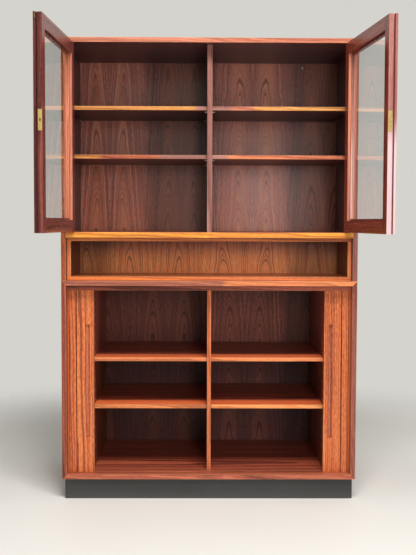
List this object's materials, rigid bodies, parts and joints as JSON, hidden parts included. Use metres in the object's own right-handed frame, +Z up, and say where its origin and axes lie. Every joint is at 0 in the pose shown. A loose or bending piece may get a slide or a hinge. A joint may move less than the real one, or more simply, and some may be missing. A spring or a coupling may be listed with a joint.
{
  "type": "wall unit",
  "caption": "Rosewood wall unit: low case with tambour doors on a plinth, an open niche, and a glazed display case.",
  "frame": {"origin": "on the floor, in the middle of the low case's footprint, under the plinth's brace", "axes": "+Z up, +Y towards the wall, +X to the right when facing the doors"},
  "size_m": [1.0384, 1.0063, 1.559],
  "materials": {
    "rosewood": "satin",
    "rosewood_panel": "satin",
    "plinth_paint": "matte",
    "brass": "polished",
    "glass": "polished",
    "canvas": "matte"
  },
  "bodies": {
    "carcass": {"plinth_front": "plinth_paint", "plinth_back": "plinth_paint", "plinth_ends": "plinth_paint", "plinth_brace": "plinth_paint", "base_bottom": "rosewood", "base_top": "rosewood", "left_base_side": "rosewood", "right_base_side": "rosewood", "base_back": "rosewood_panel", "base_divider": "rosewood", "left_liner": "rosewood", "right_liner": "rosewood", "tambour_track": "rosewood", "base_left_shelf_upper": "rosewood", "base_right_shelf_upper": "rosewood", "base_left_shelf_lower": "rosewood", "base_right_shelf_lower": "rosewood", "left_pocket_curtain": "rosewood", "right_pocket_curtain": "rosewood", "niche_floor": "rosewood", "niche_ceiling": "rosewood", "left_niche_wall": "rosewood", "right_niche_wall": "rosewood", "niche_back": "rosewood_panel", "display_floor": "rosewood", "display_top": "rosewood", "left_display_side": "rosewood", "right_display_side": "rosewood", "display_back": "rosewood_panel", "display_divider": "rosewood", "display_left_shelf_upper": "rosewood", "display_right_shelf_upper": "rosewood", "display_left_shelf_lower": "rosewood", "display_right_shelf_lower": "rosewood", "shelf_pins": "brass", "hinge_case_leaves": "brass"},
    "door_left": {"left_door_hinge_stile": "rosewood", "left_door_lock_stile": "rosewood", "left_door_top_rail": "rosewood", "left_door_bottom_rail": "rosewood", "left_door_glass": "glass", "left_door_beads": "rosewood", "left_door_hinge_leaves": "brass", "left_door_strike_plate": "brass"},
    "door_right": {"right_door_hinge_stile": "rosewood", "right_door_lock_stile": "rosewood", "right_door_top_rail": "rosewood", "right_door_bottom_rail": "rosewood", "right_door_glass": "glass", "right_door_beads": "rosewood", "right_door_hinge_leaves": "brass", "right_door_lock": "brass"},
    "top_bolt": {"left_door_top_bolt": "brass"},
    "lock_bolt": {"right_door_lock_bolt": "brass"},
    "tambour_left": {"left_tambour_stile": "rosewood", "left_tambour_slat": "rosewood", "left_tambour_canvas": "canvas"},
    "tambour_right": {"right_tambour_stile": "rosewood", "right_tambour_slat": "rosewood", "right_tambour_canvas": "canvas"}
  },
  "joints": [
    {"name": "door_left_hinge", "type": "hinge", "parent": "carcass", "child": "door_left", "pos_m": [-0.475, -0.265, 1.227], "axis": [0, 0, 1], "range_deg": [-16.3, 93.7]},
    {"name": "door_right_hinge", "type": "hinge", "parent": "carcass", "child": "door_right", "pos_m": [0.475, -0.265, 1.227], "axis": [0, 0, -1], "range_deg": [-13.7, 96.3]},
    {"name": "tambour_left_slide", "type": "slide", "parent": "carcass", "child": "tambour_left", "axis": [1, 0, 0], "range_m": [0, 0.393]},
    {"name": "tambour_right_slide", "type": "slide", "parent": "carcass", "child": "tambour_right", "axis": [-1, 0, 0], "range_m": [0, 0.393]},
    {"name": "top_bolt_slide", "type": "slide", "parent": "door_left", "child": "top_bolt", "axis": [0, 0, 1], "range_m": [0, 0.007]},
    {"name": "lock_bolt_slide", "type": "slide", "parent": "door_right", "child": "lock_bolt", "axis": [0.1097, -0.994, 0], "range_m": [0, 0.022]}
  ]
}
